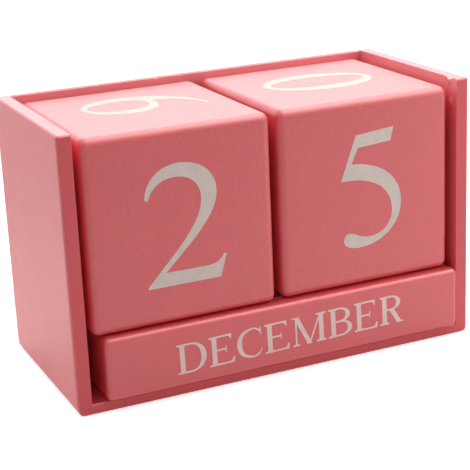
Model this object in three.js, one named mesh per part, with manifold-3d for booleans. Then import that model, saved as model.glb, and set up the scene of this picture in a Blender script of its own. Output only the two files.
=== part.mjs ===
// A perpetual desk calendar: a painted tray of four boards, open at the front and the top,
// which holds two loose digit cubes on a row of three loose month bars.
// Millimetres, +Z up, the open front faces -Y. The origin is the middle of the tray's underside.

import * as THREE from 'three';
import { RoundedBoxGeometry } from 'three/addons/geometries/RoundedBoxGeometry.js';
import { mergeVertices } from 'three/addons/utils/BufferGeometryUtils.js';
import Module from 'manifold-3d';

const wasm = await Module();
wasm.setup();

// Blocks: the cubes carry the digits of the day, the bars the names of the months.
const cubeSide = 54;
const cubeEdgeRadius = 3;
const barCount = 3;
const barSide = cubeSide / barCount;
const barEdgeRadius = 1.6;

// Boards of the tray.
const sideThickness = 4;
const floorThickness = 3;
const backThickness = 2;
const outerEdgeRadius = 1;
const innerEdgeRadius = 0.5;

// Play that lets the blocks be lifted out, turned and put back by hand.
const leftCubeClearance = 1.8;
const betweenCubesClearance = 2;
const rightCubeClearance = 2.2;
const behindCubesClearance = 1;
const leftBarClearance = 4.1;
const rightBarClearance = 0.4;
const betweenBarsClearance = 0.3;
const restingClearance = 0.1;

// How the loose blocks stand in the tray: the front bar stands proud of the tray's front,
// the rim stands above the cubes, and each cube takes its share of the play behind it.
const frontBarOverhang = 1.8;
const rimAboveCubes = 1.8;
const leftCubeSetbackShare = 0.2;
const rightCubeSetbackShare = 0.6;

// Steps of each rounded quarter, and how far a cutter runs past what it cuts.
const cubeRoundSteps = 5;
const barRoundSteps = 4;
const boardRoundSteps = 3;
const cutterOverrun = 1;

// The tray's inside follows from the blocks, and its outside from the boards.
const innerWidth = leftCubeClearance + cubeSide + betweenCubesClearance + cubeSide + rightCubeClearance;
const innerDepth = cubeSide + behindCubesClearance;
const barsTop = floorThickness + restingClearance + barSide;
const cubesBase = barsTop + restingClearance;
const trayWidth = innerWidth + 2 * sideThickness;
const trayDepth = innerDepth + backThickness;
const trayHeight = cubesBase + cubeSide + rimAboveCubes;
const innerLeft = -innerWidth / 2;
const innerRight = innerWidth / 2;
const frontPlane = -trayDepth / 2;
const rearPlane = trayDepth / 2;
const innerRear = rearPlane - backThickness;

// One paint covers the whole object; each kind of block and the tray have their own coat.
const trayCoat = { color: 0xd8707a, roughness: 0.45, metalness: 0 };
const cubeCoat = { color: 0xd9737b, roughness: 0.6, metalness: 0 };
const barCoat = { color: 0xd76e77, roughness: 0.6, metalness: 0 };

function toSolid(geometry) {
  const bare = geometry.clone();
  bare.deleteAttribute('normal');
  bare.deleteAttribute('uv');
  const merged = mergeVertices(bare);
  return new wasm.Manifold(new wasm.Mesh({
    numProp: 3,
    vertProperties: Float32Array.from(merged.attributes.position.array),
    triVerts: Uint32Array.from(merged.index.array),
  }));
}

function toGeometry(solid) {
  const { vertProperties, triVerts } = solid.getMesh();
  const geometry = new THREE.BufferGeometry();
  geometry.setAttribute('position', new THREE.BufferAttribute(Float32Array.from(vertProperties), 3));
  geometry.setIndex(new THREE.BufferAttribute(Uint32Array.from(triVerts), 1));
  geometry.computeVertexNormals();
  return geometry;
}

// A box between two corners, as a solid.
function slab(low, high) {
  const size = new THREE.Vector3().subVectors(high, low);
  const middle = new THREE.Vector3().addVectors(low, high).divideScalar(2);
  return toSolid(new THREE.BoxGeometry(size.x, size.y, size.z).translate(middle.x, middle.y, middle.z));
}

// The waste that eases one straight edge: it starts at `corner` and runs `length` along `run`,
// where `first` and `second` point from the edge along the two faces that meet there.
function edgeWaste(corner, run, first, second, length, radius) {
  const section = new THREE.Shape();
  section.moveTo(-cutterOverrun, -cutterOverrun);
  section.lineTo(radius, -cutterOverrun);
  section.lineTo(radius, 0);
  section.absarc(radius, radius, radius, -Math.PI / 2, -Math.PI, true);
  section.lineTo(-cutterOverrun, radius);
  section.closePath();
  const waste = new THREE.ExtrudeGeometry(section, {
    depth: length,
    bevelEnabled: false,
    curveSegments: boardRoundSteps,
  });
  const isRightHanded = new THREE.Vector3().crossVectors(first, second).dot(run) > 0;
  const frame = isRightHanded
    ? new THREE.Matrix4().makeBasis(first, second, run)
    : new THREE.Matrix4().makeBasis(second, first, run);
  return toSolid(waste.applyMatrix4(frame.setPosition(corner)));
}

// The glued tray is sanded as one block, so its outer edges are eased on one form,
// and each board is its own slab of that form.
function sandedTrayForm() {
  const radius = Math.min(outerEdgeRadius, sideThickness / 2);
  const block = new RoundedBoxGeometry(trayWidth, trayDepth, trayHeight, boardRoundSteps, radius);
  return toSolid(block.translate(0, 0, trayHeight / 2));
}

const towards = {
  left: new THREE.Vector3(-1, 0, 0),
  right: new THREE.Vector3(1, 0, 0),
  rear: new THREE.Vector3(0, 1, 0),
  up: new THREE.Vector3(0, 0, 1),
  down: new THREE.Vector3(0, 0, -1),
};

// A side board runs the tray's whole height and depth. Its front and top inner edges are eased.
function sideBoard(form, innerFace, outward) {
  const outerFace = innerFace + outward.x * sideThickness;
  const radius = Math.min(innerEdgeRadius, sideThickness / 2);
  const board = form.intersect(slab(
    new THREE.Vector3(Math.min(innerFace, outerFace), frontPlane, 0),
    new THREE.Vector3(Math.max(innerFace, outerFace), rearPlane, trayHeight),
  ));
  const frontEdge = new THREE.Vector3(innerFace, frontPlane, floorThickness);
  const topEdge = new THREE.Vector3(innerFace, frontPlane, trayHeight);
  return board
    .subtract(edgeWaste(frontEdge, towards.up, outward, towards.rear, trayHeight, radius))
    .subtract(edgeWaste(topEdge, towards.rear, outward, towards.down, innerDepth, radius));
}

// The floor board lies between the sides. Its front top edge is eased.
function floorBoard(form) {
  const radius = Math.min(innerEdgeRadius, floorThickness / 2);
  const board = form.intersect(slab(
    new THREE.Vector3(innerLeft, frontPlane, 0),
    new THREE.Vector3(innerRight, rearPlane, floorThickness),
  ));
  const edge = new THREE.Vector3(innerLeft, frontPlane, floorThickness);
  return board.subtract(edgeWaste(edge, towards.right, towards.rear, towards.down, innerWidth, radius));
}

// The back board stands on the floor board between the sides. Its front top edge is eased.
function backBoard(form) {
  const radius = Math.min(innerEdgeRadius, backThickness / 2);
  const board = form.intersect(slab(
    new THREE.Vector3(innerLeft, innerRear, floorThickness),
    new THREE.Vector3(innerRight, rearPlane, trayHeight),
  ));
  const edge = new THREE.Vector3(innerLeft, innerRear, trayHeight);
  return board.subtract(edgeWaste(edge, towards.right, towards.rear, towards.down, innerWidth, radius));
}

// Names a piece and gives it its coat, with its geometry about its own middle.
function piece(name, geometry, coat) {
  geometry.computeBoundingBox();
  const middle = geometry.boundingBox.getCenter(new THREE.Vector3());
  geometry.translate(-middle.x, -middle.y, -middle.z);
  const mesh = new THREE.Mesh(geometry, new THREE.MeshStandardMaterial(coat));
  mesh.name = name;
  mesh.position.copy(middle);
  return mesh;
}

function makeTray() {
  const tray = new THREE.Group();
  const form = sandedTrayForm();
  tray.add(piece('left_side_panel', toGeometry(sideBoard(form, innerLeft, towards.left)), trayCoat));
  tray.add(piece('right_side_panel', toGeometry(sideBoard(form, innerRight, towards.right)), trayCoat));
  tray.add(piece('floor_panel', toGeometry(floorBoard(form)), trayCoat));
  tray.add(piece('back_panel', toGeometry(backBoard(form)), trayCoat));
  return tray;
}

// A loose block is placed by its lowest corner.
function looseBlock(name, width, side, radius, steps, coat, corner) {
  const block = new RoundedBoxGeometry(width, side, side, steps, radius);
  block.translate(corner.x + width / 2, corner.y + side / 2, corner.z + side / 2);
  return piece(name, block, coat);
}

// The bars stand in a row from the front to the back of the tray.
function makeMonthBars() {
  const bars = new THREE.Group();
  const names = ['front_month_bar', 'middle_month_bar', 'back_month_bar'];
  const barLength = innerWidth - leftBarClearance - rightBarClearance;
  names.forEach((name, row) => {
    const corner = new THREE.Vector3(
      innerLeft + leftBarClearance,
      frontPlane - frontBarOverhang + row * (barSide + betweenBarsClearance),
      floorThickness + restingClearance,
    );
    bars.add(looseBlock(name, barLength, barSide, barEdgeRadius, barRoundSteps, barCoat, corner));
  });
  return bars;
}

// The cubes stand side by side on the bars.
function makeDigitCubes() {
  const cubes = new THREE.Group();
  const leftCubeX = innerLeft + leftCubeClearance;
  const rightCubeX = leftCubeX + cubeSide + betweenCubesClearance;
  [
    ['left_digit_cube', leftCubeX, leftCubeSetbackShare],
    ['right_digit_cube', rightCubeX, rightCubeSetbackShare],
  ].forEach(([name, x, setbackShare]) => {
    const corner = new THREE.Vector3(x, frontPlane + setbackShare * behindCubesClearance, cubesBase);
    cubes.add(looseBlock(name, cubeSide, cubeSide, cubeEdgeRadius, cubeRoundSteps, cubeCoat, corner));
  });
  return cubes;
}

const calendar = new THREE.Group();
calendar.add(makeTray(), makeMonthBars(), makeDigitCubes());

export default calendar;
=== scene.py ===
"""A perpetual desk calendar: a coral pink tray that holds two digit cubes on three month bars.

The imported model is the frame. Each of its nodes gets a finer mesh here, with its paint and print.
Lengths are in metres, and MM turns a size in millimetres into metres.
"""

import math

import bmesh
import bpy
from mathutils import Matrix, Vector, geometry, noise


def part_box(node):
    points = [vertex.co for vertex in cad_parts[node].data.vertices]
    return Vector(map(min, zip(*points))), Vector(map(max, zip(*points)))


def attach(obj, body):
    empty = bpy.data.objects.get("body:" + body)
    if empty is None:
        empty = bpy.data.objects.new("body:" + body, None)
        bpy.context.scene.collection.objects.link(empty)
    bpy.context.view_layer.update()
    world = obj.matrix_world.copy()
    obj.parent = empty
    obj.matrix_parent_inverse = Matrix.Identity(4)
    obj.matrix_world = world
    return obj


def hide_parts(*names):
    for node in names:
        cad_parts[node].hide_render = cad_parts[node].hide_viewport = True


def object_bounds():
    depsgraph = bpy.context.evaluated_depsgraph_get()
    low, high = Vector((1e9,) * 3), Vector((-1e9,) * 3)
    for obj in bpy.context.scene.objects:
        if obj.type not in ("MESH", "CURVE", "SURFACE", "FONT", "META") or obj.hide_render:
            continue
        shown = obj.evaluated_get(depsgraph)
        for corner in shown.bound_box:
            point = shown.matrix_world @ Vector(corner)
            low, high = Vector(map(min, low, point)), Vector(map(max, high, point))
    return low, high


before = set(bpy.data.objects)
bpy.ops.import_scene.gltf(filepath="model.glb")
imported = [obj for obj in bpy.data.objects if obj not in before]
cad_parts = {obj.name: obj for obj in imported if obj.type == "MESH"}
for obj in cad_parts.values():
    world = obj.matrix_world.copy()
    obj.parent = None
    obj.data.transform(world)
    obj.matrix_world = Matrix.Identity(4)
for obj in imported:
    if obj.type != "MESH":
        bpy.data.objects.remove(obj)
cad_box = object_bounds()

MM = 0.001
X, Y, Z = Vector((1, 0, 0)), Vector((0, 1, 0)), Vector((0, 0, 1))

# Camera, fitted to the straight edges of the photograph: its turn in degrees, its lens in mm.
CAMERA_PLACE = (-158.51 * MM, -357.36 * MM, 158.54 * MM)
CAMERA_TURN = (72.169, 2.485, -24.623)
CAMERA_LENS = 107.34
SENSOR_WIDTH = 36.0
CLIP_START = 0.01
CLIP_END = 50.0

# Rounding of the blocks and of the tray's boards. The foot is a side board's lower outer edge.
CUBE_ROUNDING = 2.4 * MM
BAR_ROUNDING = 1.6 * MM
OUTER_ROUNDING = 0.8 * MM
INNER_ROUNDING = 0.5 * MM
FOOT_ROUNDING = 2.4 * MM

# Fineness of the meshes: steps of a rounding, which on a block cover half of it, across a nick and
# along a glyph's curve, and the size of the cells between roundings.
BLOCK_STEPS = 7
BOARD_STEPS = 4
FOOT_STEPS = 5
NICK_STEPS = 8
CURVE_STEPS = 9
BLOCK_CELL = 1.5 * MM
BOARD_CELL = 3.0 * MM

# Shading: edges sharper than the angle stay sharp, and large faces outweigh small ones.
SMOOTH_ANGLE = math.radians(32)
FACE_WEIGHT = 80

# How near two places count as one, and how near a point a cut may pass without adding another.
SAME_PLACE = 1e-6
CUT_SLACK = 1e-7

# Print: its ink stands proud of the paint, and the paint is drawn in by as much, so that the print
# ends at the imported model's faces. It is sunk as well, so that no gap shows below it.
INK_PROUD = 0.04 * MM
INK_SUNK = 0.15 * MM

# Hand sanding: how much the rounded edges wander, over what length, and how far in it fades.
# Each block has its own place in the noise.
SANDING_DEPTH = 0.12 * MM
SANDING_LENGTH = 9 * MM
SANDING_REACH = 4 * MM
CUBE_SEED_STEP = 17.3
BAR_SEED = 5
BAR_SEED_STEP = 11.9

# Nicks along the back board's top edge, as shares of its length.
BACK_NICK_SHARES = (0.235, 0.395, 0.461)

# How strongly the paint and the ink mirror, where 0.5 is glass.
PAINT_GLOSS = 1.0
EDGE_GLOSS = 0.6
INK_GLOSS = 0.12

# Paint colours are linear, as the shaders read them.
TRAY_PAINT = (0.69, 0.088, 0.098)
# A little darker than the tray's paint: painted shade on the boards' front faces.
EDGE_PAINTED_SHADE = (0.68, 0.080, 0.092)
# Brighter and paler than the tray's paint: painted light on the faces that look in.
INSIDE_PAINTED_LIGHT = (0.98, 0.330, 0.350)
BLOCK_PAINT = (0.70, 0.078, 0.088)
DIGIT_INK = (0.75, 0.645, 0.582)
MONTH_INK = (0.90, 0.720, 0.660)
FLOOR_COLOUR = (0.90, 0.90, 0.90)

# Painted shade: the tray's inside is paler at its rim than further down.
RIM_HEIGHT = 75 * MM
DEEP_HEIGHT = 70 * MM
DEEP_PAINTED_SHADE = (0.90, 0.42, 0.47)

# Faces that look this near to straight in, or straight to the front, have the coat of that side:
# painted light inside, painted shade at the front.
INSIDE_SLACK = math.radians(50)
FRONT_SLACK = math.radians(25)

# The part of a noise that carries its variation, from its low to its high values.
NOISE_SPAN = (0.3, 0.7)
SPECK_SPAN = (0.32, 0.6)

# Sizes and strengths of what varies in the paint and in the ink.
CLOUD_SIZE = 14 * MM
CLOUD_CONTRAST = 0.03
SPECK_SIZE = 0.5 * MM
SPECK_ROUGHNESS = 0.7
SOFT_SIZE = 3 * MM
SOFT_CONTRAST = 0.02
SWELL_SIZE = 7 * MM
SWELL_DEPTH = 0.025 * MM
STIPPLE_SIZE = 0.55 * MM
STIPPLE_ROUGHNESS = 0.65
INK_CLOUD_SIZE = 2.5 * MM
INK_CLOUD_SPAN = (0.95, 1.04)
INK_SOFT_SIZE = 1.5 * MM
INK_SOFT_SPAN = (0.50, 0.60)
INK_STIPPLE_DEPTH = 0.012 * MM

# Studio: the floor's extra light for the camera, its painted pool of light, a glow round the tray
# that only reflections see, from near to far, and the strength of the light all round.
FLOOR_SIZE = 8.0
FLOOR_LIFT = 0.60
NEAR_FLOOR = 80 * MM
FAR_FLOOR = 240 * MM
NEAR_PAINTED_GLOW = 0.48
FAR_PAINTED_GLOW = 0.04
WORLD_LIGHT = 0.095

# Soft boxes, each square and turned to the tray: azimuth in degrees, where 0 is the front and 90
# the right, elevation in degrees, distance and side in metres, and power in watts.
SOFT_BOXES = {
    "back_softbox": (157, 20, 1.2, 0.9, 3.3),
    "rear_left_softbox": (-170, 26, 1.2, 0.9, 2.6),
    "high_back_softbox": (150, 44, 1.1, 0.6, 4.15),
    "overhead_softbox": (95, 66, 0.8, 0.45, 2.6),
    "high_left_softbox": (-90, 64, 1.6, 0.9, 8.0),
    "right_softbox": (46, 46, 0.5, 0.3, 0.47),
    "near_softbox": (55, 12, 0.30, 0.21, 0.15),
    "left_softbox": (-125, 10, 1.0, 0.7, 2.3),
    "edge_softbox": (60, 60, 0.5, 0.45, 2.1),
}
# This one only shows in reflections, as the glints along the blocks' edges.
GLINT_BOX = "edge_softbox"


def made_object(name, bm):
    """A smooth shaded object from a bmesh, which is used up."""
    mesh = bpy.data.meshes.new(name)
    bm.to_mesh(mesh)
    bm.free()
    mesh.shade_smooth()
    mesh.set_sharp_from_angle(angle=SMOOTH_ANGLE)
    made = bpy.data.objects.new(name, mesh)
    bpy.context.scene.collection.objects.link(made)
    return made


def even_normals(piece):
    """Keeps the flats flat where they run into a rounded edge."""
    modifier = piece.modifiers.new("even_normals", "WEIGHTED_NORMAL")
    modifier.keep_sharp = True
    modifier.weight = FACE_WEIGHT


def dress(piece, material, body):
    """Gives a piece its material and hangs it on its body."""
    piece.data.materials.append(material)
    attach(piece, body)


def stand_for(node):
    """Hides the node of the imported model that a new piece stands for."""
    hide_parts(node)


# Blocks


def grid_lines(low, high, radius):
    """Grid lines along one axis: close over the rounded edges, even over the flat between."""
    first, last = low + radius, high - radius
    turns = [math.pi / 4 * k / BLOCK_STEPS for k in range(1, BLOCK_STEPS + 1)]
    reach = [radius * math.tan(turn) for turn in turns]
    cells = max(1, round((last - first) / BLOCK_CELL))
    flat = [first + (last - first) * k / cells for k in range(cells + 1)]
    return [first - r for r in reversed(reach)] + flat + [last + r for r in reach]


def box_grid(lines):
    """A closed box whose faces follow three lists of grid lines."""
    bm = bmesh.new()
    made = {}

    def vertex(axis, end, first, second):
        key = [0, 0, 0]
        key[axis], key[(axis + 1) % 3], key[(axis + 2) % 3] = end, first, second
        key = tuple(key)
        if key not in made:
            made[key] = bm.verts.new([lines[a][key[a]] for a in range(3)])
        return made[key]

    for axis in range(3):
        along, across = lines[(axis + 1) % 3], lines[(axis + 2) % 3]
        for end in (0, len(lines[axis]) - 1):
            for i in range(len(along) - 1):
                for j in range(len(across) - 1):
                    corners = [(i, j), (i + 1, j), (i + 1, j + 1), (i, j + 1)]
                    if end == 0:
                        corners.reverse()
                    bm.faces.new([vertex(axis, end, a, b) for a, b in corners])
    return bm


def sanding(point, seed):
    """How far hand sanding takes the surface down at a point, from nothing to its full depth."""
    spot = point / SANDING_LENGTH + Vector((seed, seed, seed))
    return SANDING_DEPTH * (0.5 + 0.5 * noise.noise(spot))


def fade(distance, reach):
    """1 at no distance, falling smoothly to 0 at reach."""
    share = min(1.0, max(0.0, distance / reach))
    return 1 - share * share * (3 - 2 * share)


def rounded_block(name, node, radius, seed):
    """A solid block with rounded edges that are sanded by hand, and flat faces between them."""
    low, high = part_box(node)
    low, high = low + Vector.Fill(3, INK_PROUD), high - Vector.Fill(3, INK_PROUD)
    bm = box_grid([grid_lines(low[a], high[a], radius) for a in range(3)])
    for v in bm.verts:
        core = Vector([min(max(v.co[a], low[a] + radius), high[a] - radius) for a in range(3)])
        outward = (v.co - core).normalized()
        insets = sorted(min(v.co[a] - low[a], high[a] - v.co[a]) for a in range(3))
        edge = fade(max(0.0, insets[1] - radius), SANDING_REACH)
        v.co = core + outward * (radius - edge * sanding(v.co, seed))
    return made_object(name, bm)


# Glyphs: outlines whose points are shares of the height of the figure or of the face


def cubic(start, first, second, end):
    """Points of a cubic curve after its start."""
    points = []
    for k in range(1, CURVE_STEPS + 1):
        t = k / CURVE_STEPS
        weights = ((1 - t) ** 3, 3 * t * (1 - t) ** 2, 3 * t * t * (1 - t), t ** 3)
        points.append(tuple(
            sum(w * p[a] for w, p in zip(weights, (start, first, second, end))) for a in (0, 1)
        ))
    return points


def outline(path):
    """Points of a path: two numbers draw a line to a point, six draw a cubic curve to the last."""
    points = [path[0]]
    for step in path[1:]:
        if len(step) == 2:
            points.append(step)
        else:
            points += cubic(points[-1], step[0:2], step[2:4], step[4:6])
    if (Vector(points[0]) - Vector(points[-1])).length < SAME_PLACE:
        points.pop()
    return points


def ellipse(cx, cy, rx, ry, lean=0.0):
    """Points round an ellipse, whose upright axis may lean."""
    count = 4 * CURVE_STEPS
    turns = [2 * math.pi * k / count for k in range(count)]
    return [(cx + rx * math.cos(t) + lean * ry * math.sin(t), cy + ry * math.sin(t)) for t in turns]


def ribbon(stations):
    """Points round a stroke that runs smoothly through its stations.

    Each station gives the stroke's middle and its width there.
    """
    ends = [stations[0], *stations, stations[-1]]
    line = []
    for a, b, c, d in zip(ends, ends[1:], ends[2:], ends[3:]):
        for k in range(CURVE_STEPS):
            t = k / CURVE_STEPS
            line.append([
                0.5 * (2 * q + (r - p) * t + (2 * p - 5 * q + 4 * r - s) * t ** 2
                       + (3 * q - p - 3 * r + s) * t ** 3)
                for p, q, r, s in zip(a, b, c, d)
            ])
    line.append(list(stations[-1]))
    left, right = [], []
    for before, here, after in zip([line[0], *line], line, [*line[1:], line[-1]]):
        run = Vector((after[0] - before[0], after[1] - before[1])).normalized()
        aside = Vector((-run.y, run.x)) * here[2] / 2
        left.append((here[0] + aside.x, here[1] + aside.y))
        right.append((here[0] - aside.x, here[1] - aside.y))
    return left + right[::-1]


# Capitals, in shares of their height. A pull is how far a curve's handle reaches along its side.
STEM = 0.165
HAIR = 0.058
STEM_LEFT = 0.095
ARM_LEFT = 0.2
SERIF_OUT = 0.095
SERIF_THICK = 0.042
SERIF_SOFT = 1.5 * SERIF_THICK
SERIF_PULL = 0.5 * SERIF_OUT
BRACKET = 0.11
BEAK = 0.20
BEAK_LEAN = 0.02
BEAK_TIP = 0.6 * HAIR
BEAK_PULL = 0.6 * BEAK
BEAK_RISE = 1.4 * HAIR
BOWL_LEFT = 0.17
BOWL_STRAIGHT_SHARE = 0.35
BOWL_OUTER_PULL = 0.58
BOWL_INNER_PULL = 0.62
BOWL_SIDE_PULL = 0.56
LETTER_GAP = 0.095


def slab(x0, y0, x1, y1):
    """A rectangle between two corners."""
    return [(x0, y0), (x1, y0), (x1, y1), (x0, y1)]


def slant(x0, y0, x1, y1, width):
    """A leaning stroke whose left side runs from one point to the other."""
    return [(x0, y0), (x0 + width, y0), (x1 + width, y1), (x1, y1)]


def serif(x0, x1, y, rise):
    """A bracketed serif across a stem from x0 to x1: above y where rise is 1, below where -1."""
    thick, soft, top = rise * SERIF_THICK, rise * SERIF_SOFT, rise * BRACKET
    return outline([
        (x0 - SERIF_OUT, y),
        (x1 + SERIF_OUT, y),
        (x1 + SERIF_OUT, y + thick),
        (x1 + SERIF_PULL, y + soft, x1, y + soft, x1, y + top),
        (x0, y + top),
        (x0, y + soft, x0 - SERIF_PULL, y + soft, x0 - SERIF_OUT, y + thick),
    ])


def stem(x, width=STEM, foot=True, head=True):
    """An upright stroke with a serif at each end that has one."""
    parts = [slab(x, 0, x + width, 1)]
    if foot:
        parts.append(serif(x, x + width, 0, 1))
    if head:
        parts.append(serif(x, x + width, 1, -1))
    return parts


def arm(x0, x1, y, rise):
    """A thin arm along y, with a beak at its free end: above y where rise is 1, below where -1."""
    thick = rise * HAIR
    return outline([
        (x0, y),
        (x1, y),
        (x1 + rise * BEAK_LEAN, y + rise * BEAK),
        (x1 - BEAK_TIP, y + rise * BEAK),
        (x1 - HAIR, y + rise * BEAK_RISE, x1 - BEAK_PULL, y + thick, x1 - BEAK, y + thick),
        (x0, y + thick),
    ])


def bowl(x0, x1, y0, y1, width=STEM):
    """A round stroke from a stem at x0 out to x1 and back."""
    middle, straight = (y0 + y1) / 2, x0 + (x1 - x0) * BOWL_STRAIGHT_SHARE
    reach, bend = (x1 - straight) * BOWL_OUTER_PULL, (y1 - y0) * 0.5 * BOWL_SIDE_PULL
    inner, inner_reach = x1 - width, (x1 - width - straight) * BOWL_INNER_PULL
    return outline([
        (x0, y0),
        (straight, y0),
        (straight + reach, y0, x1, middle - bend, x1, middle),
        (x1, middle + bend, straight + reach, y1, straight, y1),
        (x0, y1),
        (x0, y1 - HAIR),
        (straight, y1 - HAIR),
        (straight + inner_reach, y1 - HAIR, inner, middle + bend, inner, middle),
        (inner, middle - bend, straight + inner_reach, y0 + HAIR, straight, y0 + HAIR),
        (x0, y0 + HAIR),
    ])


def round_back(width):
    """The open curve that C and G share."""
    return ribbon([
        (width - 0.03, 0.74, 0.02),
        (width - 0.12, 0.90, HAIR),
        (width - 0.34, 0.985, HAIR),
        (0.20, 0.84, 0.115),
        (0.085, 0.51, STEM + 0.005),
        (0.19, 0.17, 0.12),
        (width - 0.36, 0.018, 0.062),
        (width - 0.13, 0.09, HAIR),
        (width - 0.01, 0.25, 0.02),
    ])


def beak_below(x, y):
    """The upright beak at the top of C, G and S."""
    return [
        (x - 0.035, y - 0.04), (x, y - 0.26), (x + 0.03, y - 0.26), (x + 0.015, y + 0.015),
        (x - 0.015, y + 0.015)]


CAPITALS = {
    "A": [
        slant(0.10, 0, 0.50, 1, HAIR), slant(0.74, 0, 0.38, 1, 0.175),
        slab(0.22, 0.32, 0.78, 0.32 + HAIR),
        serif(0.10, 0.10 + HAIR, 0, 1), serif(0.76, 0.90, 0, 1)],
    "B": [*stem(STEM_LEFT), bowl(BOWL_LEFT, 0.80, 0.49, 1), bowl(BOWL_LEFT, 0.87, 0, 0.49 + HAIR)],
    "C": [round_back(0.89), beak_below(0.83, 0.985)],
    "D": [*stem(STEM_LEFT), bowl(BOWL_LEFT, 1.0, 0, 1, STEM + 0.02)],
    "E": [
        *stem(STEM_LEFT), arm(ARM_LEFT, 0.79, 1, -1), arm(ARM_LEFT, 0.85, 0, 1),
        slab(ARM_LEFT, 0.49, 0.58, 0.49 + HAIR), slab(0.56, 0.41, 0.595, 0.62)],
    "F": [
        *stem(STEM_LEFT), arm(ARM_LEFT, 0.80, 1, -1), slab(ARM_LEFT, 0.48, 0.58, 0.48 + HAIR),
        slab(0.56, 0.39, 0.595, 0.61)],
    "G": [
        round_back(0.93), beak_below(0.86, 0.985), slab(0.80, 0.06, 0.80 + STEM, 0.42),
        serif(0.80, 0.80 + STEM, 0.44, -1)],
    "H": [*stem(STEM_LEFT), *stem(0.775), slab(ARM_LEFT, 0.48, 0.8, 0.48 + HAIR)],
    "I": stem(STEM_LEFT),
    "J": [
        slab(0.24, 0.28, 0.24 + STEM, 1), serif(0.24, 0.24 + STEM, 1, -1),
        ribbon([
            (0.315, 0.32, STEM), (0.29, 0.10, 0.12), (0.19, 0.0, 0.06), (0.09, 0.02, 0.09),
            (0.055, 0.09, 0.07)])],
    "L": [*stem(STEM_LEFT), arm(ARM_LEFT, 0.85, 0, 1)],
    "M": [
        *stem(0.13, HAIR, head=False), *stem(0.99), slant(0.56, 0, 0.095, 1, 0.165),
        slant(0.60, 0, 1.02, 1, HAIR), slab(0.0, 1 - SERIF_THICK, 0.2, 1)],
    "N": [
        *stem(0.14, HAIR, head=False), *stem(0.87, HAIR, foot=False),
        slant(0.76, 0, 0.06, 1, 0.18), slab(0.0, 1 - SERIF_THICK, 0.2, 1)],
    "O": [(ellipse(0.49, 0.5, 0.49, 0.515), ellipse(0.49, 0.5, 0.325, 0.465))],
    "P": [*stem(STEM_LEFT), bowl(BOWL_LEFT, 0.80, 0.45, 1)],
    "R": [
        *stem(STEM_LEFT), bowl(BOWL_LEFT, 0.79, 0.48, 1), slant(0.65, 0, 0.35, 0.52, 0.18),
        slab(0.62, 0, 0.90, SERIF_THICK)],
    "S": [
        ribbon([
            (0.555, 0.74, 0.02), (0.50, 0.90, 0.045), (0.34, 0.975, HAIR), (0.16, 0.88, 0.115),
            (0.15, 0.72, 0.13), (0.33, 0.53, 0.16), (0.52, 0.36, 0.14), (0.54, 0.17, 0.12),
            (0.35, 0.022, HAIR), (0.13, 0.08, 0.045), (0.05, 0.27, 0.02)]),
        beak_below(0.53, 0.985),
        [(0.03, 0.29), (0.055, 0.29), (0.09, 0.05), (0.06, -0.005), (0.03, -0.005)]],
    "T": [
        *stem(0.39, head=False), arm(0.45, 0.92, 1, -1),
        [(0.93 - x, y) for x, y in arm(0.45, 0.92, 1, -1)][::-1]],
    "U": [
        outline([
            (0.095, 1),
            (0.095, 0.32),
            (0.095, 0.09, 0.26, -0.015, 0.50, -0.015),
            (0.74, -0.015, 0.91, 0.10, 0.91, 0.34),
            (0.91, 1),
            (0.91 - HAIR, 1),
            (0.91 - HAIR, 0.34),
            (0.91 - HAIR, 0.15, 0.74, 0.05, 0.54, 0.05),
            (0.34, 0.05, 0.245, 0.14, 0.245, 0.32),
            (0.245, 1)]),
        serif(0.095, 0.245, 1, -1), serif(0.91 - HAIR, 0.91, 1, -1)],
    "V": [
        slant(0.46, 0, 0.08, 1, 0.17), slant(0.52, 0, 0.90, 1, HAIR),
        serif(0.10, 0.24, 1, -1), serif(0.90, 0.95, 1, -1)],
    "Y": [
        slant(0.43, 0.42, 0.08, 1, 0.175), slant(0.53, 0.42, 0.88, 1, HAIR),
        slab(0.44, 0, 0.44 + STEM, 0.47), serif(0.44, 0.44 + STEM, 0, 1),
        serif(0.10, 0.24, 1, -1), serif(0.88, 0.93, 1, -1)],
}

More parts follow.
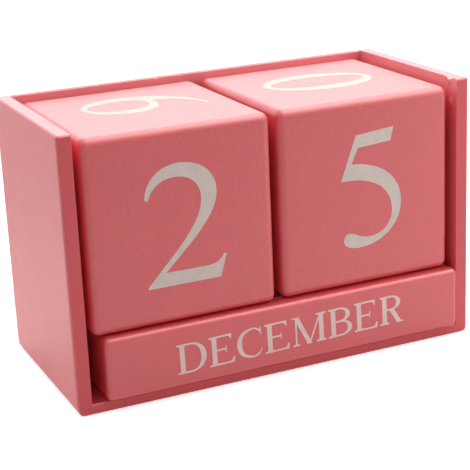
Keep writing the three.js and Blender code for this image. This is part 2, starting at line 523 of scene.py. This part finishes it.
# Digits, in shares of the cube's face. The six is a nine when its cube is turned over.
DIGITS = {
    "0": [
        (ellipse(0.52, 0.505, 0.203, 0.306, 0.05), ellipse(0.52, 0.505, 0.114, 0.270, 0.05))],
    "1": [
        slant(0.455, 0.21, 0.505, 0.84, 0.085),
        [(0.505, 0.84), (0.59, 0.845), (0.585, 0.80), (0.41, 0.72), (0.405, 0.735)],
        outline([
            (0.37, 0.2),
            (0.63, 0.2),
            (0.63, 0.22),
            (0.56, 0.225, 0.545, 0.24, 0.545, 0.28),
            (0.46, 0.28),
            (0.455, 0.24, 0.44, 0.225, 0.37, 0.22)])],
    "2": [outline([
        (0.309, 0.662),
        (0.318, 0.755, 0.395, 0.8195, 0.493, 0.8195),
        (0.613, 0.8195, 0.6905, 0.750, 0.6905, 0.652),
        (0.6905, 0.530, 0.550, 0.415, 0.3995, 0.272),
        (0.590, 0.270),
        (0.672, 0.268, 0.694, 0.285, 0.715, 0.321),
        (0.728, 0.318),
        (0.693, 0.200),
        (0.3025, 0.200),
        (0.303, 0.210),
        (0.487, 0.400, 0.606, 0.505, 0.606, 0.630),
        (0.606, 0.703, 0.550, 0.751, 0.474, 0.751),
        (0.404, 0.751, 0.352, 0.720, 0.329, 0.657),
        (0.325, 0.645, 0.309, 0.648, 0.309, 0.662)])],
    "3": [
        ribbon([
            (0.365, 0.725, 0.02), (0.41, 0.80, 0.05), (0.50, 0.82, 0.05), (0.585, 0.775, 0.08),
            (0.605, 0.68, 0.09), (0.55, 0.59, 0.06), (0.455, 0.545, 0.02)]),
        ribbon([
            (0.455, 0.555, 0.02), (0.56, 0.545, 0.05), (0.645, 0.455, 0.09), (0.64, 0.33, 0.09),
            (0.55, 0.24, 0.06), (0.43, 0.222, 0.05), (0.365, 0.25, 0.06), (0.345, 0.265, 0.03)])],
    "4": [
        slant(0.315, 0.37, 0.575, 0.84, 0.045), slab(0.315, 0.355, 0.72, 0.415),
        slant(0.535, 0.2, 0.575, 0.84, 0.085)],
    "5": [outline([
        (0.442, 0.813),
        (0.663, 0.832),
        (0.644, 0.759),
        (0.452, 0.745),
        (0.413, 0.664),
        (0.592, 0.653, 0.706, 0.563, 0.706, 0.428),
        (0.706, 0.300, 0.592, 0.208, 0.452, 0.208),
        (0.400, 0.208, 0.362, 0.226, 0.362, 0.253),
        (0.362, 0.276, 0.373, 0.293, 0.392, 0.293),
        (0.430, 0.293, 0.455, 0.260, 0.515, 0.260),
        (0.597, 0.260, 0.651, 0.315, 0.651, 0.390),
        (0.651, 0.505, 0.542, 0.588, 0.351, 0.578)])],
    "6": [(
        outline([
            (0.690, 0.840),
            (0.560, 0.835, 0.330, 0.700, 0.325, 0.450),
            (0.325, 0.310, 0.405, 0.210, 0.505, 0.210),
            (0.620, 0.210, 0.705, 0.305, 0.705, 0.420),
            (0.705, 0.540, 0.620, 0.612, 0.505, 0.612),
            (0.466, 0.602),
            (0.490, 0.725, 0.590, 0.800, 0.694, 0.820)]),
        outline([
            (0.505, 0.240),
            (0.580, 0.240, 0.624, 0.315, 0.624, 0.410),
            (0.624, 0.510, 0.580, 0.568, 0.510, 0.568),
            (0.450, 0.568, 0.411, 0.520, 0.411, 0.440),
            (0.411, 0.345, 0.440, 0.240, 0.505, 0.240)]))],
    "7": [outline([
        (0.345, 0.700),
        (0.385, 0.845),
        (0.700, 0.845),
        (0.700, 0.815),
        (0.600, 0.620, 0.540, 0.420, 0.520, 0.195),
        (0.430, 0.195),
        (0.470, 0.420, 0.540, 0.620, 0.630, 0.770),
        (0.420, 0.770),
        (0.390, 0.768, 0.375, 0.740, 0.360, 0.700)])],
    "8": [
        (ellipse(0.525, 0.695, 0.145, 0.15), ellipse(0.525, 0.695, 0.075, 0.12)),
        (ellipse(0.52, 0.375, 0.185, 0.18), ellipse(0.52, 0.375, 0.100, 0.145))],
}


def region(parts):
    """The union of the parts, as points and faces.

    A part is an outline, or an outline and its hole. Each pair holds the numbers of their rings.
    """
    rings, pairs = [], []
    for part in parts:
        solid, hole = part if isinstance(part, tuple) else (part, None)
        pairs.append((len(rings), len(rings) + 1 if hole else None))
        rings += [solid, hole] if hole else [solid]
    points, faces = [], []
    for ring in rings:
        area = sum(a[0] * b[1] - b[0] * a[1] for a, b in zip(ring, ring[1:] + ring[:1]))
        ring = ring if area > 0 else ring[::-1]
        faces.append(list(range(len(points), len(points) + len(ring))))
        points += [Vector(p) for p in ring]
    found = geometry.delaunay_2d_cdt(points, [], faces, 0, SAME_PLACE)
    new_points, new_faces, old_rings = found[0], found[2], found[5]
    inside = [
        face for face, rings_of in zip(new_faces, old_rings)
        if any(solid in rings_of and hole not in rings_of for solid, hole in pairs)
    ]
    return new_points, inside


def add_print(bm, points, faces, place):
    """Adds a thin closed solid of ink. place turns shares into metres, from the paint's face up."""
    used = sorted({i for face in faces for i in face})
    low = {i: bm.verts.new(place(points[i], -INK_SUNK)) for i in used}
    high = {i: bm.verts.new(place(points[i], INK_PROUD)) for i in used}
    sides = set()
    for face in faces:
        bm.faces.new([high[i] for i in face])
        bm.faces.new([low[i] for i in reversed(face)])
        sides |= set(zip(face, [*face[1:], face[0]]))
    for a, b in sorted(sides):
        if (b, a) not in sides:
            bm.faces.new([low[a], low[b], high[b], high[a]])


def face_place(node, outward, up, unit, start_shares, tilt=0.0):
    """Makes the function that turns a point and a rise into a place on a block's face.

    The face looks outward and is read with up above. The point is in units, and is measured from
    the place at start_shares of the face's width and height.
    """
    low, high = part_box(node)
    right = up.cross(outward)
    middle, size = (low + high) / 2, high - low
    width, height = abs(right.dot(size)), abs(up.dot(size))
    depth = abs(outward.dot(size)) / 2 - INK_PROUD
    start = middle - right * width / 2 - up * height / 2 + outward * depth
    start = start + right * start_shares[0] * width + up * start_shares[1] * height
    along = right * math.cos(tilt) + up * math.sin(tilt)
    above = up * math.cos(tilt) - right * math.sin(tilt)
    return lambda point, rise: start + (along * point[0] + above * point[1]) * unit + outward * rise


def printed_digits(name, node, faces):
    """The six digits of a cube: each digit, the way its face looks, the way up and its nudge."""
    low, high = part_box(node)
    bm = bmesh.new()
    for digit, outward, up, nudge_shares in faces:
        place = face_place(node, outward, up, (high - low).x, nudge_shares)
        add_print(bm, *region(DIGITS[digit]), place)
    return made_object(name, bm)


# Month names, as shares of the bar. The letters are a hair wider than drawn, and the name in front
# was put on slightly off centre and out of level.
LETTER_HEIGHT_SHARE = 0.478
LETTER_BASE_SHARE = 0.305
LETTER_WIDTH = 1.005
FRONT_BASE_SHARE = 0.212
FRONT_NUDGE_SHARE = 0.008
FRONT_TILT = math.radians(1.3)


def word(text):
    """A word's letters, each as points and faces, and its length, in shares of their height."""
    letters, pen = [], 0.0
    for letter in text:
        points, faces = region(CAPITALS[letter])
        used = [points[i].x for face in faces for i in face]
        left, right = min(used), max(used)
        letters.append(([Vector(((p.x - left) * LETTER_WIDTH + pen, p.y)) for p in points], faces))
        pen += (right - left) * LETTER_WIDTH + LETTER_GAP
    return letters, pen - LETTER_GAP


def printed_months(name, node, months, is_front):
    """The four months of a bar, from its front over its top and back to its underside."""
    low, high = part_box(node)
    height = LETTER_HEIGHT_SHARE * (high - low).z
    bm = bmesh.new()
    for month, (outward, up) in zip(months, ((-Y, Z), (Z, Y), (Y, -Z), (-Z, -Y))):
        letters, length = word(month)
        start, base, tilt = (1 - length * height / (high - low).x) / 2, LETTER_BASE_SHARE, 0.0
        if is_front and outward == -Y:
            start, base, tilt = start + FRONT_NUDGE_SHARE, FRONT_BASE_SHARE, FRONT_TILT
        place = face_place(node, outward, up, height, (start, base), tilt)
        for points, faces in letters:
            add_print(bm, points, faces, place)
    return made_object(name, bm)


# Boards of the tray


def slice_block(bm, axis, places):
    """Adds an edge loop across the mesh at each place along an axis."""
    for place in places:
        everything = bm.verts[:] + bm.edges[:] + bm.faces[:]
        bmesh.ops.bisect_plane(
            bm, geom=everything, plane_co=axis * place, plane_no=axis, dist=CUT_SLACK)


def even_places(low, high, cell):
    """Places between low and high that part them into cells of about the given size."""
    count = max(1, round((high - low) / cell))
    return [low + (high - low) * k / count for k in range(1, count)]


def edges_at(bm, planes):
    """Edges that lie in two planes, each given as an axis and a place along it."""
    def lies(vertex):
        return all(abs(vertex.co.dot(axis) - place) < SAME_PLACE for axis, place in planes)
    return [e for e in bm.edges if all(lies(v) for v in e.verts)]


def round_edges(bm, edges, radius):
    """Rounds edges to a quarter circle, which is what a profile of 0.5 stands for."""
    bmesh.ops.bevel(
        bm, geom=edges, offset=radius, segments=BOARD_STEPS, profile=0.5, affect="EDGES",
        clamp_overlap=True)


def plain_board(node):
    """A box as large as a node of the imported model, with its lowest and highest corners."""
    low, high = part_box(node)
    bm = bmesh.new()
    bmesh.ops.create_cube(bm, size=1)
    for v in bm.verts:
        v.co = Vector([low[a] if v.co[a] < 0 else high[a] for a in range(3)])
    return bm, low, high


def finish_board(name, bm, low, high, nicks=()):
    """Slices a board finely enough for its nicks, presses them in and makes the object."""
    for axis, index in ((X, 0), (Y, 1), (Z, 2)):
        slice_block(bm, axis, even_places(low[index], high[index], BOARD_CELL))
    for nick in nicks:
        nick.cut(bm)
    for nick in nicks:
        nick.press(bm)
    bmesh.ops.recalc_face_normals(bm, faces=bm.faces)
    piece = made_object(name, bm)
    even_normals(piece)
    return piece


class Nick:
    """A dent, or a bead of paint, on a board.

    It has a middle, a width, how far it moves the board there, and the axes to slice along.
    """

    def __init__(self, middle, width, push, axes):
        self.middle, self.width, self.push, self.axes = Vector(middle), width, Vector(push), axes

    def cut(self, bm):
        """Slices the board finely across the nick."""
        shares = [k / NICK_STEPS - 0.5 for k in range(NICK_STEPS + 1)]
        for axis in self.axes:
            centre = self.middle.dot(axis)
            slice_block(bm, axis, [centre + self.width * share for share in shares])

    def press(self, bm):
        """Moves the board's points, most at the nick's middle and not at all outside it."""
        for v in bm.verts:
            v.co += self.push * fade((v.co - self.middle).length, self.width / 2)


def sand_foot(bm, outer, bottom, outward):
    """Rounds the lower outer edge of a side board, which wears on what the tray stands on."""
    for k in range(FOOT_STEPS):
        inset = FOOT_ROUNDING * (1 - math.tan(math.pi / 4 * k / FOOT_STEPS))
        slice_block(bm, X, [outer - outward * inset])
        slice_block(bm, Z, [bottom + inset])
    core_x, core_z = outer - outward * FOOT_ROUNDING, bottom + FOOT_ROUNDING
    for v in bm.verts:
        away = Vector((max(0.0, (v.co.x - core_x) * outward), max(0.0, core_z - v.co.z)))
        if away.x > 0 and away.y > 0 and away.length > FOOT_ROUNDING:
            away *= FOOT_ROUNDING / away.length
            v.co.x, v.co.z = core_x + outward * away.x, core_z - away.y


def side_board(name, node, outward, nicks=()):
    """A side board: its outer edges are rounded, and its inner front and top edges are eased."""
    bm, low, high = plain_board(node)
    outer, inner = (high.x, low.x) if outward > 0 else (low.x, high.x)
    front, rear, bottom, top = (Y, low.y), (Y, high.y), (Z, low.z), (Z, high.z)
    corners = [((X, outer), side) for side in (front, rear, bottom, top)]
    corners += [(end, side) for end in (front, rear) for side in (bottom, top)]
    round_edges(bm, [edge for planes in corners for edge in edges_at(bm, planes)], OUTER_ROUNDING)
    sand_foot(bm, outer, low.z, outward)
    floor_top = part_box("floor_panel")[1].z
    slice_block(bm, Z, [floor_top])
    eased = [
        edge for edge in edges_at(bm, ((X, inner), front))
        if min(v.co.z for v in edge.verts) > floor_top - SAME_PLACE
    ]
    round_edges(bm, eased + edges_at(bm, ((X, inner), top)), INNER_ROUNDING)
    return finish_board(name, bm, low, high, nicks)


def floor_board(name, node):
    """The floor board: its lower edges are rounded, and its upper front edge is eased."""
    bm, low, high = plain_board(node)
    outer = [e for y in (low.y, high.y) for e in edges_at(bm, ((Y, y), (Z, low.z)))]
    round_edges(bm, outer, OUTER_ROUNDING)
    round_edges(bm, edges_at(bm, ((Y, low.y), (Z, high.z))), INNER_ROUNDING)
    return finish_board(name, bm, low, high)


def back_board(name, node, nicks=()):
    """The back board: its upper rear edge is rounded, and its upper front edge is eased."""
    bm, low, high = plain_board(node)
    round_edges(bm, edges_at(bm, ((Y, high.y), (Z, high.z))), OUTER_ROUNDING)
    round_edges(bm, edges_at(bm, ((Y, low.y), (Z, high.z))), INNER_ROUNDING)
    return finish_board(name, bm, low, high, nicks)


# Materials


class Nodes:
    """Shorthand for building a material's node tree."""

    def __init__(self, name):
        self.material = bpy.data.materials.new(name)
        self.material.use_nodes = True
        self.tree = self.material.node_tree
        self.shader = self.tree.nodes["Principled BSDF"]
        self.place = self.add("ShaderNodeTexCoord").outputs["Object"]

    def add(self, kind, **values):
        """Adds a node and sets its own values."""
        node = self.tree.nodes.new(kind)
        for key, value in values.items():
            setattr(node, key, value)
        return node

    def link(self, output, socket):
        """Joins an output to an input."""
        self.tree.links.new(output, socket)

    def noise(self, size, detail=3.0, roughness=0.5):
        """Noise whose lumps are about as large as size."""
        node = self.add("ShaderNodeTexNoise")
        node.inputs["Scale"].default_value = 1 / size
        node.inputs["Detail"].default_value = detail
        node.inputs["Roughness"].default_value = roughness
        self.link(self.place, node.inputs["Vector"])
        return node.outputs["Fac"]

    def ramp(self, value, span, low, high):
        """Runs from low to high, two greys or two colours, as value runs over the span."""
        node = self.add("ShaderNodeValToRGB")
        for element, position, colour in zip(node.color_ramp.elements, span, (low, high)):
            element.position = position
            element.color = (*(colour if isinstance(colour, tuple) else (colour,) * 3), 1)
        self.link(value, node.inputs["Fac"])
        return node.outputs["Color"]

    def mix(self, share, first, second, kind="MIX"):
        """Mixes two colours. The node's colours are its sockets 6 and 7, and its result is 2."""
        node = self.add("ShaderNodeMix", data_type="RGBA", blend_type=kind)
        for socket, value in ((0, share), (6, first), (7, second)):
            if isinstance(value, bpy.types.NodeSocket):
                self.link(value, node.inputs[socket])
            else:
                node.inputs[socket].default_value = (*value, 1) if socket else value
        return node.outputs[2]

    def span(self, value, ends, results):
        """Maps value from the first pair of ends onto the pair of results, and stops there."""
        node = self.add("ShaderNodeMapRange")
        for socket, number in zip(("From Min", "From Max", "To Min", "To Max"), (*ends, *results)):
            node.inputs[socket].default_value = number
        self.link(value, node.inputs["Value"])
        return node.outputs["Result"]

    def height(self):
        """How high a point lies, in metres."""
        axes = self.add("ShaderNodeSeparateXYZ")
        self.link(self.place, axes.inputs[0])
        return axes.outputs["Z"]

    def distance(self):
        """How far a point lies from the middle of the tray's underside, in metres."""
        node = self.add("ShaderNodeVectorMath", operation="LENGTH")
        self.link(self.place, node.inputs[0])
        return node.outputs["Value"]

    def calculate(self, operation, *values):
        """The result of an operation on sockets and numbers."""
        node = self.add("ShaderNodeMath", operation=operation)
        for socket, value in zip(node.inputs, values):
            if isinstance(value, bpy.types.NodeSocket):
                self.link(value, socket)
            else:
                socket.default_value = value
        return node.outputs[0]

    def bump(self, height, depth, below=None):
        """Normals of a relief of the given depth, over another relief where there is one."""
        node = self.add("ShaderNodeBump")
        node.inputs["Distance"].default_value = depth
        self.link(height, node.inputs["Height"])
        if below:
            self.link(below, node.inputs["Normal"])
        return node.outputs["Normal"]


def tint(colour, factor):
    """A colour made lighter or darker."""
    return tuple(min(1.0, c * factor) for c in colour)


def paint(name, colour, gloss, roughness, stipple_depth, contrast, painted_shade_tint=None):
    """Brushed and rolled paint: a fine stipple, faint clouds of colour and a soft gloss."""
    nodes = Nodes(name)
    nodes.shader.inputs["Specular IOR Level"].default_value = gloss
    clouds = nodes.ramp(
        nodes.noise(CLOUD_SIZE), NOISE_SPAN,
        tint(colour, 1 - CLOUD_CONTRAST), tint(colour, 1 + CLOUD_CONTRAST))
    specks = nodes.ramp(
        nodes.noise(SPECK_SIZE, roughness=SPECK_ROUGHNESS), SPECK_SPAN,
        tint(colour, 1 - contrast), tint(colour, 1 + contrast / 3))
    coat = nodes.mix(0.5, clouds, specks)
    # Painted shade: the coat darkens below the rim.
    if painted_shade_tint:
        deep = nodes.span(nodes.height(), (RIM_HEIGHT, DEEP_HEIGHT), (0, 1))
        coat = nodes.mix(deep, coat, painted_shade_tint, "MULTIPLY")
    nodes.link(coat, nodes.shader.inputs["Base Color"])
    soft = nodes.ramp(
        nodes.noise(SOFT_SIZE), NOISE_SPAN, roughness - SOFT_CONTRAST, roughness + SOFT_CONTRAST)
    nodes.link(soft, nodes.shader.inputs["Roughness"])
    swell = nodes.bump(nodes.noise(SWELL_SIZE, detail=2.0), SWELL_DEPTH)
    grain = nodes.noise(STIPPLE_SIZE, roughness=STIPPLE_ROUGHNESS)
    nodes.link(nodes.bump(grain, stipple_depth, below=swell), nodes.shader.inputs["Normal"])
    return nodes.material


def tray_paint():
    """The coat of the tray's outside, the smoothest."""
    return paint(
        "tray_paint", TRAY_PAINT, PAINT_GLOSS, roughness=0.38, stipple_depth=0.008 * MM,
        contrast=0.06)


def board_edge_painted_shade():
    """The coat of the boards' front edges, a little darker than the tray's: painted shade on the
    faces that look to the front.
    """
    return paint(
        "board_edge_painted_shade", EDGE_PAINTED_SHADE, EDGE_GLOSS, roughness=0.50, stipple_depth=0.015 * MM,
        contrast=0.08)


def inside_light_and_shade_paint():
    """The coat of the tray's inside: brighter and paler than the tray's, as painted light, and
    darker below the rim, as painted shade.
    """
    return paint(
        "inside_light_and_shade_paint", INSIDE_PAINTED_LIGHT, PAINT_GLOSS, roughness=0.40, stipple_depth=0.010 * MM,
        contrast=0.06, painted_shade_tint=DEEP_PAINTED_SHADE)


def cube_paint():
    """The coat of the cubes, rolled on with the deepest stipple."""
    return paint(
        "cube_paint", BLOCK_PAINT, PAINT_GLOSS, roughness=0.42, stipple_depth=0.050 * MM,
        contrast=0.22)


def bar_paint():
    """The coat of the bars, between the tray's and the cubes'."""
    return paint(
        "bar_paint", BLOCK_PAINT, PAINT_GLOSS, roughness=0.42, stipple_depth=0.020 * MM,
        contrast=0.10)


def ink(name, colour):
    """Opaque screen print, a little uneven, over the stipple of the paint."""
    nodes = Nodes(name)
    nodes.shader.inputs["Specular IOR Level"].default_value = INK_GLOSS
    pale_and_deep = [tint(colour, factor) for factor in INK_CLOUD_SPAN]
    clouds = nodes.ramp(nodes.noise(INK_CLOUD_SIZE), NOISE_SPAN, *pale_and_deep)
    nodes.link(clouds, nodes.shader.inputs["Base Color"])
    soft = nodes.ramp(nodes.noise(INK_SOFT_SIZE, detail=2.0), NOISE_SPAN, *INK_SOFT_SPAN)
    nodes.link(soft, nodes.shader.inputs["Roughness"])
    grain = nodes.noise(STIPPLE_SIZE, roughness=STIPPLE_ROUGHNESS)
    nodes.link(nodes.bump(grain, INK_STIPPLE_DEPTH), nodes.shader.inputs["Normal"])
    return nodes.material


def white_ground(name):
    """The studio floor: white to the camera where nothing shades it.

    Round the tray it has a painted glow, a pool of light that only reflections see.
    """
    nodes = Nodes(name)
    nodes.shader.inputs["Base Color"].default_value = (*FLOOR_COLOUR, 1)
    nodes.shader.inputs["Roughness"].default_value = 1.0
    nodes.shader.inputs["Specular IOR Level"].default_value = 0.0
    path = nodes.add("ShaderNodeLightPath").outputs
    # Painted light: an emission that glows round the tray, and only reflections see it.
    pool = nodes.span(nodes.distance(), (NEAR_FLOOR, FAR_FLOOR), (NEAR_PAINTED_GLOW, FAR_PAINTED_GLOW))
    painted_glow = nodes.calculate("MULTIPLY", path["Is Glossy Ray"], pool)
    lift = nodes.calculate("MULTIPLY_ADD", path["Is Camera Ray"], FLOOR_LIFT, painted_glow)
    glow = nodes.add("ShaderNodeEmission")
    nodes.link(lift, glow.inputs["Strength"])
    total = nodes.add("ShaderNodeAddShader")
    nodes.link(nodes.shader.outputs[0], total.inputs[0])
    nodes.link(glow.outputs[0], total.inputs[1])
    nodes.link(total.outputs[0], nodes.tree.nodes["Material Output"].inputs["Surface"])
    return nodes.material


# Studio


def make_floor():
    """The surface that the calendar stands on."""
    bm = bmesh.new()
    bmesh.ops.create_grid(bm, x_segments=1, y_segments=1, size=FLOOR_SIZE / 2)
    floor = made_object("floor", bm)
    floor.data.materials.append(white_ground("white_ground"))


def make_world():
    """An even grey light all round, white where the camera or a reflection looks at it."""
    world = bpy.data.worlds.new("studio")
    bpy.context.scene.world = world
    world.use_nodes = True
    tree = world.node_tree
    background = tree.nodes["Background"]
    background.inputs["Color"].default_value = (1, 1, 1, 1)
    path = tree.nodes.new("ShaderNodeLightPath")
    both = tree.nodes.new("ShaderNodeMath")
    both.operation = "MAXIMUM"
    tree.links.new(path.outputs["Is Camera Ray"], both.inputs[0])
    tree.links.new(path.outputs["Is Glossy Ray"], both.inputs[1])
    level = tree.nodes.new("ShaderNodeMapRange")
    level.inputs["To Min"].default_value = WORLD_LIGHT
    level.inputs["To Max"].default_value = 1.0
    tree.links.new(both.outputs[0], level.inputs["Value"])
    tree.links.new(level.outputs["Result"], background.inputs["Strength"])


def soft_box(name, azimuth, elevation, distance, side, power):
    """A square lamp that looks at the middle of the calendar."""
    aim = (cad_box[0] + cad_box[1]) / 2
    a, e = math.radians(azimuth), math.radians(elevation)
    away = Vector((math.sin(a) * math.cos(e), -math.cos(a) * math.cos(e), math.sin(e)))
    light = bpy.data.lights.new(name, "AREA")
    light.shape = "SQUARE"
    light.size = side
    light.energy = power
    lamp = bpy.data.objects.new(name, light)
    lamp.location = aim + away * distance
    lamp.rotation_euler = away.to_track_quat("Z", "Y").to_euler()
    lamp.visible_diffuse = name != GLINT_BOX
    bpy.context.scene.collection.objects.link(lamp)


def make_camera():
    """The camera of the photograph."""
    data = bpy.data.cameras.new("camera")
    data.sensor_width = SENSOR_WIDTH
    data.lens = CAMERA_LENS
    data.clip_start = CLIP_START
    data.clip_end = CLIP_END
    camera = bpy.data.objects.new("camera", data)
    camera.location = CAMERA_PLACE
    camera.rotation_euler = [math.radians(angle) for angle in CAMERA_TURN]
    bpy.context.scene.collection.objects.link(camera)
    bpy.context.scene.camera = camera


def make_studio():
    """The floor, the light all round, the lamps, and colours that show as they are lit."""
    make_floor()
    make_world()
    for name, settings in SOFT_BOXES.items():
        soft_box(name, *settings)
    bpy.context.scene.view_settings.view_transform = "Standard"


# Calendar


def coat_faces(board, coat, direction, slack):
    """Gives the faces of a board that look in one direction, within an angle, their own coat, which
    paints that side's light and shade.
    """
    board.data.materials.append(coat)
    for face in board.data.polygons:
        if face.normal.dot(direction) > math.cos(slack):
            face.material_index = len(board.data.materials) - 1


def right_board_nicks():
    """A tongue of paint at the top of the right board's inner front edge, and a bead below it."""
    low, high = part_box("right_side_panel")
    return [
        Nick(middle=(low.x, low.y + 3.4 * MM, high.z - 0.3 * MM), width=4.4 * MM,
             push=(-0.55 * MM, 0, -0.6 * MM), axes=(Y, Z)),
        Nick(middle=(low.x, low.y + 2.8 * MM, high.z - 6.9 * MM), width=3.0 * MM,
             push=(-0.75 * MM, 0, 0), axes=(Y, Z)),
    ]


def back_board_nicks():
    """Small dents along the back board's top edge."""
    low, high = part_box("back_panel")
    return [
        Nick(middle=(low.x + share * (high.x - low.x), low.y, high.z), width=1.8 * MM,
             push=(0, 0.1 * MM, -0.25 * MM), axes=(X,))
        for share in BACK_NICK_SHARES
    ]


def make_tray():
    """The four boards. The sides that look in have a coat with painted light, and those that look
    to the front a coat with painted shade.
    """
    coat, edge_shade_coat, inside_light_and_shade_coat = tray_paint(), board_edge_painted_shade(), inside_light_and_shade_paint()
    boards = (
        (side_board("left_side_board", "left_side_panel", -1), "left_side_panel", X),
        (side_board("right_side_board", "right_side_panel", 1, right_board_nicks()),
         "right_side_panel", -X),
        (floor_board("floor_board", "floor_panel"), "floor_panel", Z),
        (back_board("back_board", "back_panel", back_board_nicks()), "back_panel", -Y),
    )
    for board, node, inward in boards:
        dress(board, coat, "tray")
        stand_for(node)
        coat_faces(board, inside_light_and_shade_coat, inward, INSIDE_SLACK)
        if node != "back_panel":
            coat_faces(board, edge_shade_coat, -Y, FRONT_SLACK)


def make_block(name, node, body, rounding, seed, coat):
    """A loose block that rides on its own body."""
    block = rounded_block(name, node, rounding, seed)
    even_normals(block)
    dress(block, coat, body)
    stand_for(node)


def make_cubes():
    """The two cubes. Each face has its digit, the way it looks, the way up and its nudge."""
    coat, digit_ink = cube_paint(), ink("digit_ink", DIGIT_INK)
    centred = (0.0, 0.0)
    cubes = {
        "left": (
            ("2", -Y, Z, centred), ("6", Z, X, (-0.090, 0.009)), ("7", Y, -Z, centred),
            ("0", -Z, X, centred), ("8", -X, Z, centred), ("1", X, Z, centred)),
        "right": (
            ("5", -Y, Z, centred), ("0", Z, X, (-0.030, -0.010)), ("4", Y, -Z, centred),
            ("3", -Z, X, centred), ("1", -X, Z, centred), ("2", X, Z, centred)),
    }
    for number, (side, faces) in enumerate(cubes.items()):
        node, body = f"{side}_digit_cube", f"{side}_cube"
        seed = number * CUBE_SEED_STEP
        make_block(f"{side}_cube_block", node, body, CUBE_ROUNDING, seed, coat)
        dress(printed_digits(f"{side}_cube_digits", node, faces), digit_ink, body)


def make_bars():
    """The three bars. Each has its months from its front over its top and back to its underside."""
    coat, month_ink = bar_paint(), ink("month_ink", MONTH_INK)
    bars = {
        "front": ("DECEMBER", "SEPTEMBER", "OCTOBER", "NOVEMBER"),
        "middle": ("AUGUST", "MAY", "JUNE", "JULY"),
        "back": ("APRIL", "JANUARY", "FEBRUARY", "MARCH"),
    }
    for number, (row, months) in enumerate(bars.items()):
        node, body = f"{row}_month_bar", f"{row}_bar"
        seed = BAR_SEED + number * BAR_SEED_STEP
        make_block(f"{row}_bar_block", node, body, BAR_ROUNDING, seed, coat)
        months_print = printed_months(f"{row}_bar_months", node, months, row == "front")
        dress(months_print, month_ink, body)


make_camera()
make_studio()
make_tray()
make_cubes()
make_bars()
